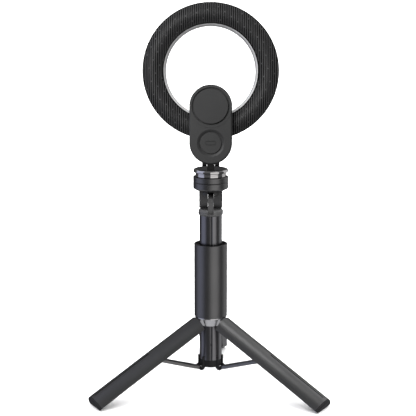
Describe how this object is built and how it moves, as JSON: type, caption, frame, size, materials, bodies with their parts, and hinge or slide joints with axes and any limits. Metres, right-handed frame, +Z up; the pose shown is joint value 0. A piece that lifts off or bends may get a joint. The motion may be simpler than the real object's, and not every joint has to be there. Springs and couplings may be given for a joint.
{
  "type": "ring light",
  "caption": "Ring light on a battery pod with a magnetic phone disc, a tilting and panning head and a telescopic mast on folding tripod legs.",
  "frame": {"origin": "on the floor, under the axis of the mast", "axes": "+Z up along the mast; the user's side with the phone disc and the button faces -Y and the light shines to +Y; +X is to the right as the user sees it"},
  "size_m": [0.2676, 0.24, 0.437],
  "materials": {
    "satin_black_metal": "satin anodised black",
    "leg_black": "satin black paint",
    "tube_black": "satin anodised black",
    "bare_aluminium": "turned and polished",
    "polished_steel": "polished",
    "pin_steel": "plain",
    "black_plastic": "fine matte texture",
    "ribbed_plastic": "matte, ribbed",
    "disc_silicone": "smooth matte silicone",
    "foot_rubber": "matte",
    "inner_plastic": "acetal",
    "milky_plastic": "milky, translucent",
    "white_board": "white solder mask",
    "green_board": "green solder mask",
    "led_package": "yellow phosphor in a white package",
    "cell_wrap": "foil pouch",
    "magnet": "nickel plated"
  },
  "bodies": {
    "grip": {"grip_tube": "satin_black_metal", "grip_bush": "inner_plastic", "hinge_collar": "bare_aluminium", "leg_hinge_pins": "pin_steel"},
    "column": {"column_tube": "tube_black", "column_cap": "black_plastic", "column_bush": "inner_plastic", "strut_foot_pins": "pin_steel"},
    "mast_2": {"mast_tube_2": "tube_black", "mast_shoe_2": "inner_plastic", "mast_bush_2": "inner_plastic"},
    "mast_3": {"mast_tube_3": "tube_black", "mast_shoe_3": "inner_plastic", "mast_bush_3": "inner_plastic"},
    "mast_4": {"mast_tube_4": "tube_black", "mast_shoe_4": "inner_plastic", "mast_cap": "satin_black_metal"},
    "fork": {"fork": "black_plastic", "fork_pin": "pin_steel", "fork_pin_caps": "black_plastic"},
    "lock_ring": {"lock_ring": "satin_black_metal"},
    "pan": {"pan_platform": "polished_steel", "neck_stud": "black_plastic"},
    "head": {"neck_bracket": "black_plastic", "neck_pin": "pin_steel", "bracket_screws": "pin_steel", "pod_back_shell": "black_plastic", "pod_front_shell": "black_plastic", "pod_screws": "pin_steel", "battery": "cell_wrap", "control_board": "green_board", "power_switch": "inner_plastic", "usb_socket": "pin_steel", "ring_screws": "pin_steel", "ring_casing": "ribbed_plastic", "inner_rim": "milky_plastic", "diffuser": "milky_plastic", "led_board": "white_board", "leds": "led_package", "board_posts": "inner_plastic"},
    "phone_disc": {"phone_disc": "disc_silicone", "disc_magnets": "magnet", "disc_plate": "pin_steel", "disc_screw": "pin_steel"},
    "button": {"button": "black_plastic"},
    "leg_1": {"leg_1": "leg_black", "leg_foot_1": "foot_rubber", "leg_pads_1": "foot_rubber"},
    "strut_1": {"strut_1": "black_plastic", "strut_slide_pin_1": "pin_steel"},
    "leg_2": {"leg_2": "leg_black", "leg_foot_2": "foot_rubber", "leg_pads_2": "foot_rubber"},
    "strut_2": {"strut_2": "black_plastic", "strut_slide_pin_2": "pin_steel"},
    "leg_3": {"leg_3": "leg_black", "leg_foot_3": "foot_rubber", "leg_pads_3": "foot_rubber"},
    "strut_3": {"strut_3": "black_plastic", "strut_slide_pin_3": "pin_steel"}
  },
  "joints": [
    {"name": "column_slide", "type": "slide", "parent": "grip", "child": "column", "axis": [0, 0, 1], "range_m": [-0.0224, 0]},
    {"name": "leg_fold_1", "type": "hinge", "parent": "grip", "child": "leg_1", "pos_m": [0.00047, 0.01479, 0.0816], "axis": [-0.9995, 0.0314, 0], "range_deg": [0, 60.6]},
    {"name": "strut_fold_1", "type": "hinge", "parent": "column", "child": "strut_1", "pos_m": [0.00047, 0.01479, 0.0256], "axis": [-0.9995, 0.0314, 0], "range_deg": [0, 108.23]},
    {"name": "leg_fold_2", "type": "hinge", "parent": "grip", "child": "leg_2", "pos_m": [-0.01304, -0.00699, 0.0816], "axis": [0.4726, -0.8813, 0], "range_deg": [0, 60.6]},
    {"name": "strut_fold_2", "type": "hinge", "parent": "column", "child": "strut_2", "pos_m": [-0.01304, -0.00699, 0.0256], "axis": [0.4726, -0.8813, 0], "range_deg": [0, 108.23]},
    {"name": "leg_fold_3", "type": "hinge", "parent": "grip", "child": "leg_3", "pos_m": [0.01258, -0.0078, 0.0816], "axis": [0.527, 0.8499, 0], "range_deg": [0, 60.6]},
    {"name": "strut_fold_3", "type": "hinge", "parent": "column", "child": "strut_3", "pos_m": [0.01258, -0.0078, 0.0256], "axis": [0.527, 0.8499, 0], "range_deg": [0, 108.23]},
    {"name": "mast_slide_2", "type": "slide", "parent": "column", "child": "mast_2", "axis": [0, 0, 1], "range_m": [0, 0.13]},
    {"name": "mast_slide_3", "type": "slide", "parent": "mast_2", "child": "mast_3", "axis": [0, 0, 1], "range_m": [0, 0.13]},
    {"name": "mast_slide_4", "type": "slide", "parent": "mast_3", "child": "mast_4", "axis": [0, 0, 1], "range_m": [0, 0.13]},
    {"name": "fork_tilt", "type": "hinge", "parent": "mast_4", "child": "fork", "pos_m": [0, 0, 0.2182], "axis": [1, 0, 0], "range_deg": [-70, 70]},
    {"name": "lock_ring_turn", "type": "hinge", "parent": "fork", "child": "lock_ring", "pos_m": [0, 0, 0.239], "axis": [0, 0, 1], "range_deg": [-60, 0]},
    {"name": "pan_turn", "type": "hinge", "parent": "fork", "child": "pan", "pos_m": [0, 0, 0.249], "axis": [0, 0, 1], "continuous": true},
    {"name": "head_tilt", "type": "hinge", "parent": "pan", "child": "head", "pos_m": [0, 0, 0.2606], "axis": [1, 0, 0], "range_deg": [-38, 31]},
    {"name": "disc_turn", "type": "hinge", "parent": "head", "child": "phone_disc", "pos_m": [0, -0.00184, 0.32448], "axis": [0, -0.9928, 0.1201], "continuous": true},
    {"name": "button_press", "type": "slide", "parent": "head", "child": "button", "axis": [0, 0.9928, -0.1201], "range_m": [0, 0.0006], "stiffness_N_per_m": 2500, "springref_m": -0.0004}
  ],
  "couplings": [
    {"joint": "leg_fold_1", "follows": "column_slide", "rad_per_m": -47.217},
    {"joint": "strut_fold_1", "follows": "column_slide", "rad_per_m": -84.325},
    {"joint": "leg_fold_2", "follows": "column_slide", "rad_per_m": -47.217},
    {"joint": "strut_fold_2", "follows": "column_slide", "rad_per_m": -84.325},
    {"joint": "leg_fold_3", "follows": "column_slide", "rad_per_m": -47.217},
    {"joint": "strut_fold_3", "follows": "column_slide", "rad_per_m": -84.325}
  ]
}
